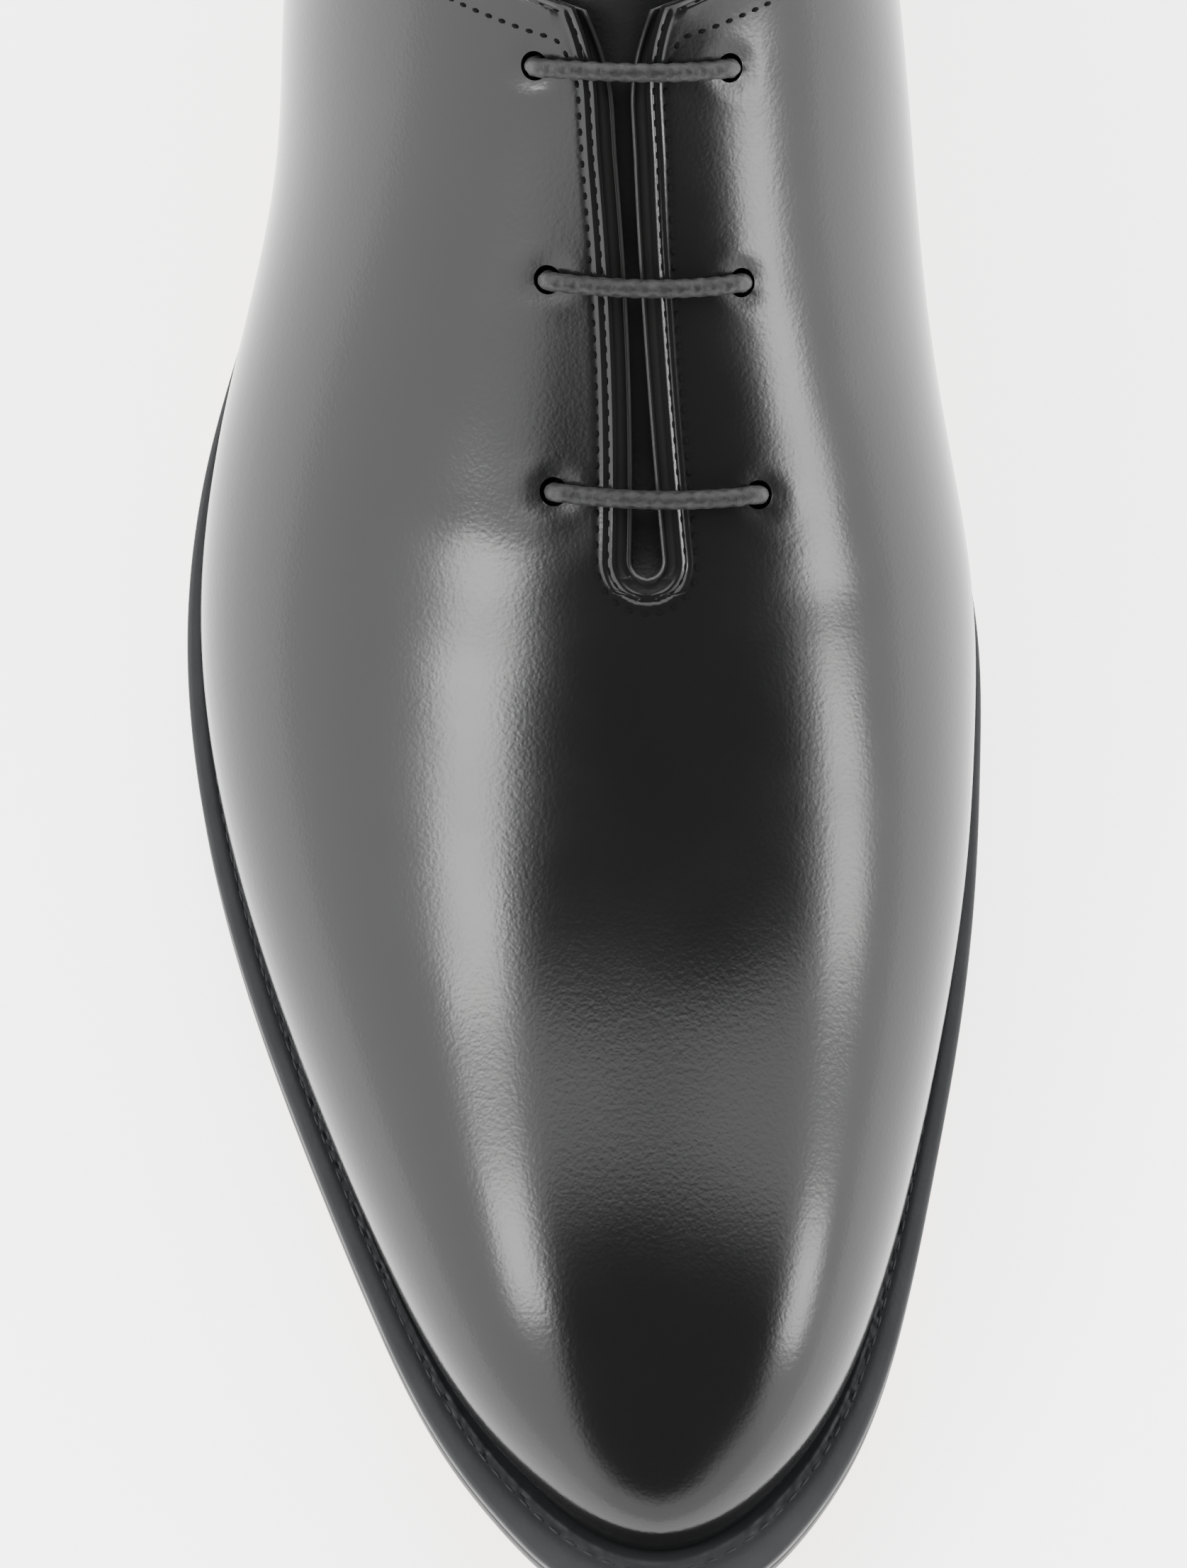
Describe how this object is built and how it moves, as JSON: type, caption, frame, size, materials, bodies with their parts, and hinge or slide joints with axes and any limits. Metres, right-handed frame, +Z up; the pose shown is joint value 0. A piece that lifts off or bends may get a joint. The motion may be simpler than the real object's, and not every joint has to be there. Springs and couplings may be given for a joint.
{
  "type": "whole cut oxford shoe",
  "caption": "Right dress shoe on a long almond last: one-piece hollow upper with straight lacing, tongue, insole, welt, leather outsole and stacked heel.",
  "frame": {"origin": "on the floor, under the middle of the whole shoe's box", "axes": "+Z up, -Y to the toe, +X to the medial side"},
  "size_m": [0.1084, 0.3158, 0.0984],
  "materials": {
    "black_calf": "polished",
    "tongue_calf": "satin",
    "insole_leather": "matt",
    "black_edge": "waxed edge",
    "sole_leather": "smooth",
    "heel_rubber": "matt",
    "waxed_cotton": "waxed cord"
  },
  "bodies": {
    "root": {"upper": "black_calf", "tongue": "tongue_calf", "insole": "insole_leather", "welt": "black_edge", "outsole": "sole_leather", "heel_lift_1": "black_edge", "heel_lift_2": "black_edge", "heel_lift_3": "black_edge", "heel_lift_4": "black_edge", "top_piece": "heel_rubber", "lace": "waxed_cotton"}
  },
  "joints": []
}
